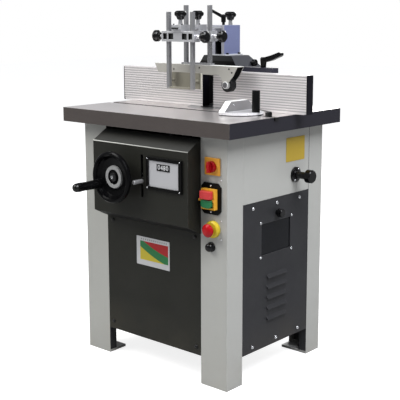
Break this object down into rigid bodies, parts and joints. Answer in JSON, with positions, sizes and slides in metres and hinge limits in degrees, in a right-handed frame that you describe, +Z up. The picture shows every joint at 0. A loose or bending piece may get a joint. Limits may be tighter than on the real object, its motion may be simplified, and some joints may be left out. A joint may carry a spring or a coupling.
{
  "type": "spindle moulder",
  "caption": "Floor-standing spindle moulder: sheet-steel cabinet, cast table with mitre gauge, rise-and-fall spindle, split fluted fence with hood and a two-way hold-down.",
  "frame": {"origin": "on the floor, at the centre of the rectangle of four floor-bolt holes in the feet", "axes": "+Z up from the floor, +X towards the infeed side, -Y towards the operator"},
  "size_m": [0.822, 0.761, 1.206],
  "materials": {
    "grey_paint": "semi-gloss light grey enamel",
    "dark_paint": "fine-textured anthracite powder coat",
    "hood_paint": "dark grey paint over casting",
    "cast_iron": "ground top, raw edges",
    "steel": "bright turned or drawn steel",
    "aluminium": "fluted natural extrusion or casting",
    "white_paint": "white enamel on folded sheet",
    "olive_paint": "olive grey enamel",
    "black_plastic": "moulded black thermoset",
    "yellow_plastic": "yellow moulding",
    "red_plastic": "red moulding",
    "green_plastic": "green moulding",
    "smoked_pane": "smoked acrylic pane",
    "rubber": "black rubber"
  },
  "bodies": {
    "machine": {"leg_front_left": "grey_paint", "leg_front_right": "grey_paint", "leg_rear_left": "grey_paint", "leg_rear_right": "grey_paint", "front_panel": "dark_paint", "rear_panel": "dark_paint", "left_panel": "dark_paint", "right_upper_panel": "grey_paint", "right_cover": "dark_paint", "belt_window": "smoked_pane", "control_box": "dark_paint", "readout": "black_plastic", "isolator_plate": "yellow_plastic", "switch_plate": "black_plastic", "estop_collar": "yellow_plastic", "worktable": "cast_iron", "table_ring": "steel", "spindle_guide": "cast_iron"},
    "lift": {"lift_plate": "cast_iron", "spindle_sleeve": "cast_iron", "motor": "hood_paint", "drive_belt": "rubber"},
    "spindle": {"spindle": "steel"},
    "rotor": {"motor_pulley": "aluminium"},
    "handwheel": {"handwheel": "black_plastic", "wheel_shaft": "steel"},
    "crank": {"crank_handle": "black_plastic"},
    "lift_screw": {"lift_screw": "steel"},
    "height_lock": {"height_lock": "steel"},
    "isolator": {"isolator_knob": "red_plastic"},
    "stop_button": {"stop_button": "red_plastic"},
    "start_button": {"start_button": "green_plastic"},
    "estop": {"estop_button": "red_plastic"},
    "cover_knob": {"cover_knob": "black_plastic"},
    "plunger": {"plunger": "black_plastic"},
    "hood": {"fence_hood": "hood_paint", "hold_down_tower": "aluminium"},
    "left_fence": {"left_fence": "aluminium"},
    "right_fence": {"right_fence": "aluminium", "fence_rail": "dark_paint"},
    "fence_lever": {"fence_lever": "black_plastic"},
    "tower_lever": {"tower_lever": "black_plastic"},
    "tower_knob": {"tower_knob": "black_plastic"},
    "reach": {"reach_arm": "steel"},
    "rear_clamp": {"rear_clamp": "steel"},
    "front_clamp": {"front_clamp": "steel"},
    "rear_knob_left": {"rear_knob_left": "black_plastic"},
    "rear_knob_right": {"rear_knob_right": "black_plastic"},
    "rear_knob_top": {"rear_knob_top": "black_plastic"},
    "front_knob_left": {"front_knob_left": "black_plastic"},
    "front_knob_right": {"front_knob_right": "black_plastic"},
    "front_knob_top": {"front_knob_top": "black_plastic"},
    "shoe": {"shoe_bars": "steel", "pressure_shoe": "white_paint"},
    "roller": {"shoe_roller": "rubber"},
    "press": {"press_bars": "steel", "press_plate": "olive_paint"},
    "mitre_bar": {"mitre_bar": "steel"},
    "mitre_head": {"mitre_head": "aluminium"},
    "mitre_handle": {"mitre_handle": "black_plastic"}
  },
  "joints": [
    {"name": "lift_slide", "type": "slide", "parent": "machine", "child": "lift", "axis": [0, 0, 1], "range_m": [-0.045, 0.08]},
    {"name": "spindle_turn", "type": "hinge", "parent": "lift", "child": "spindle", "pos_m": [0, 0.045, 0.7], "axis": [0, 0, 1], "continuous": true},
    {"name": "rotor_turn", "type": "hinge", "parent": "lift", "child": "rotor", "pos_m": [0.19, 0, 0.6], "axis": [0, 0, 1], "continuous": true},
    {"name": "handwheel_turn", "type": "hinge", "parent": "machine", "child": "handwheel", "pos_m": [-0.076, -0.331, 0.657], "axis": [0, 1, 0], "range_deg": [-1622, 2882]},
    {"name": "crank_turn", "type": "hinge", "parent": "handwheel", "child": "crank", "pos_m": [-0.138, -0.371, 0.629], "axis": [0, 1, 0], "continuous": true},
    {"name": "lift_screw_turn", "type": "hinge", "parent": "machine", "child": "lift_screw", "pos_m": [-0.076, -0.08, 0.6], "axis": [0, 0, 1], "range_deg": [-1622, 2882]},
    {"name": "height_lock_turn", "type": "hinge", "parent": "lift", "child": "height_lock", "pos_m": [0.016, -0.315, 0.65], "axis": [0, 1, 0], "range_deg": [-180, 180]},
    {"name": "isolator_turn", "type": "hinge", "parent": "machine", "child": "isolator", "pos_m": [0.263, -0.255, 0.717], "axis": [0, 1, 0], "range_deg": [0, 90]},
    {"name": "stop_press", "type": "slide", "parent": "machine", "child": "stop_button", "axis": [0, 1, 0], "range_m": [0, 0.004], "stiffness_N_per_m": 1500},
    {"name": "start_press", "type": "slide", "parent": "machine", "child": "start_button", "axis": [0, 1, 0], "range_m": [0, 0.004], "stiffness_N_per_m": 1500},
    {"name": "estop_press", "type": "slide", "parent": "machine", "child": "estop", "axis": [0, 1, 0], "range_m": [0, 0.005]},
    {"name": "cover_knob_turn", "type": "hinge", "parent": "machine", "child": "cover_knob", "pos_m": [0.319, 0, 0.538], "axis": [1, 0, 0], "range_deg": [-180, 180]},
    {"name": "plunger_pull", "type": "slide", "parent": "machine", "child": "plunger", "axis": [1, 0, 0], "range_m": [0, 0.012], "stiffness_N_per_m": 1200},
    {"name": "fence_travel", "type": "slide", "parent": "machine", "child": "hood", "axis": [0, 1, 0], "range_m": [-0.012, 0.04]},
    {"name": "left_fence_travel", "type": "slide", "parent": "hood", "child": "left_fence", "axis": [1, 0, 0], "range_m": [-0.06, 0]},
    {"name": "right_fence_travel", "type": "slide", "parent": "hood", "child": "right_fence", "axis": [1, 0, 0], "range_m": [0, 0.06]},
    {"name": "fence_lever_turn", "type": "hinge", "parent": "right_fence", "child": "fence_lever", "pos_m": [0.199, 0.078, 1], "axis": [0, 0, 1], "range_deg": [-60, 60]},
    {"name": "tower_lever_turn", "type": "hinge", "parent": "hood", "child": "tower_lever", "pos_m": [0, 0.108, 1.15], "axis": [0, 0, 1], "range_deg": [-20, 70]},
    {"name": "tower_knob_turn", "type": "hinge", "parent": "hood", "child": "tower_knob", "pos_m": [0, 0.146, 1.15], "axis": [0, 0, 1], "range_deg": [-180, 180]},
    {"name": "reach_travel", "type": "slide", "parent": "hood", "child": "reach", "axis": [0, 1, 0], "range_m": [-0.03, 0.012]},
    {"name": "rear_clamp_travel", "type": "slide", "parent": "reach", "child": "rear_clamp", "axis": [0, 1, 0], "range_m": [-0.01, 0.01]},
    {"name": "front_clamp_travel", "type": "slide", "parent": "reach", "child": "front_clamp", "axis": [0, 1, 0], "range_m": [-0.006, 0.02]},
    {"name": "rear_knob_left_turn", "type": "hinge", "parent": "rear_clamp", "child": "rear_knob_left", "pos_m": [-0.072, -0.026, 1.104], "axis": [1, 0, 0], "range_deg": [-180, 180]},
    {"name": "front_knob_left_turn", "type": "hinge", "parent": "front_clamp", "child": "front_knob_left", "pos_m": [-0.072, -0.112, 1.104], "axis": [1, 0, 0], "range_deg": [-180, 180]},
    {"name": "rear_knob_right_turn", "type": "hinge", "parent": "rear_clamp", "child": "rear_knob_right", "pos_m": [0.072, -0.026, 1.104], "axis": [1, 0, 0], "range_deg": [-180, 180]},
    {"name": "front_knob_right_turn", "type": "hinge", "parent": "front_clamp", "child": "front_knob_right", "pos_m": [0.072, -0.112, 1.104], "axis": [1, 0, 0], "range_deg": [-180, 180]},
    {"name": "rear_knob_top_turn", "type": "hinge", "parent": "rear_clamp", "child": "rear_knob_top", "pos_m": [0, -0.026, 1.15], "axis": [0, 0, 1], "range_deg": [-180, 180]},
    {"name": "front_knob_top_turn", "type": "hinge", "parent": "front_clamp", "child": "front_knob_top", "pos_m": [0, -0.112, 1.15], "axis": [0, 0, 1], "range_deg": [-180, 180]},
    {"name": "shoe_travel", "type": "slide", "parent": "rear_clamp", "child": "shoe", "axis": [0, 0, 1], "range_m": [-0.05, 0.06]},
    {"name": "roller_turn", "type": "hinge", "parent": "shoe", "child": "roller", "pos_m": [0.136, -0.026, 0.946], "axis": [0, 1, 0], "continuous": true},
    {"name": "press_travel", "type": "slide", "parent": "front_clamp", "child": "press", "axis": [0, 0, 1], "range_m": [-0.06, 0.06]},
    {"name": "mitre_travel", "type": "slide", "parent": "machine", "child": "mitre_bar", "axis": [1, 0, 0], "range_m": [0, 0.12]},
    {"name": "mitre_turn", "type": "hinge", "parent": "mitre_bar", "child": "mitre_head", "pos_m": [0.222, -0.075, 0.865], "axis": [0, 0, 1], "range_deg": [-45, 45]},
    {"name": "mitre_handle_turn", "type": "hinge", "parent": "mitre_head", "child": "mitre_handle", "pos_m": [0.288, -0.075, 0.9], "axis": [0, 0, 1], "range_deg": [-180, 180]}
  ],
  "couplings": [
    {"joint": "handwheel_turn", "follows": "lift_slide", "rad_per_m": 628.32},
    {"joint": "lift_screw_turn", "follows": "lift_slide", "rad_per_m": 628.32},
    {"joint": "spindle_turn", "follows": "rotor_turn", "ratio": 1.375}
  ]
}
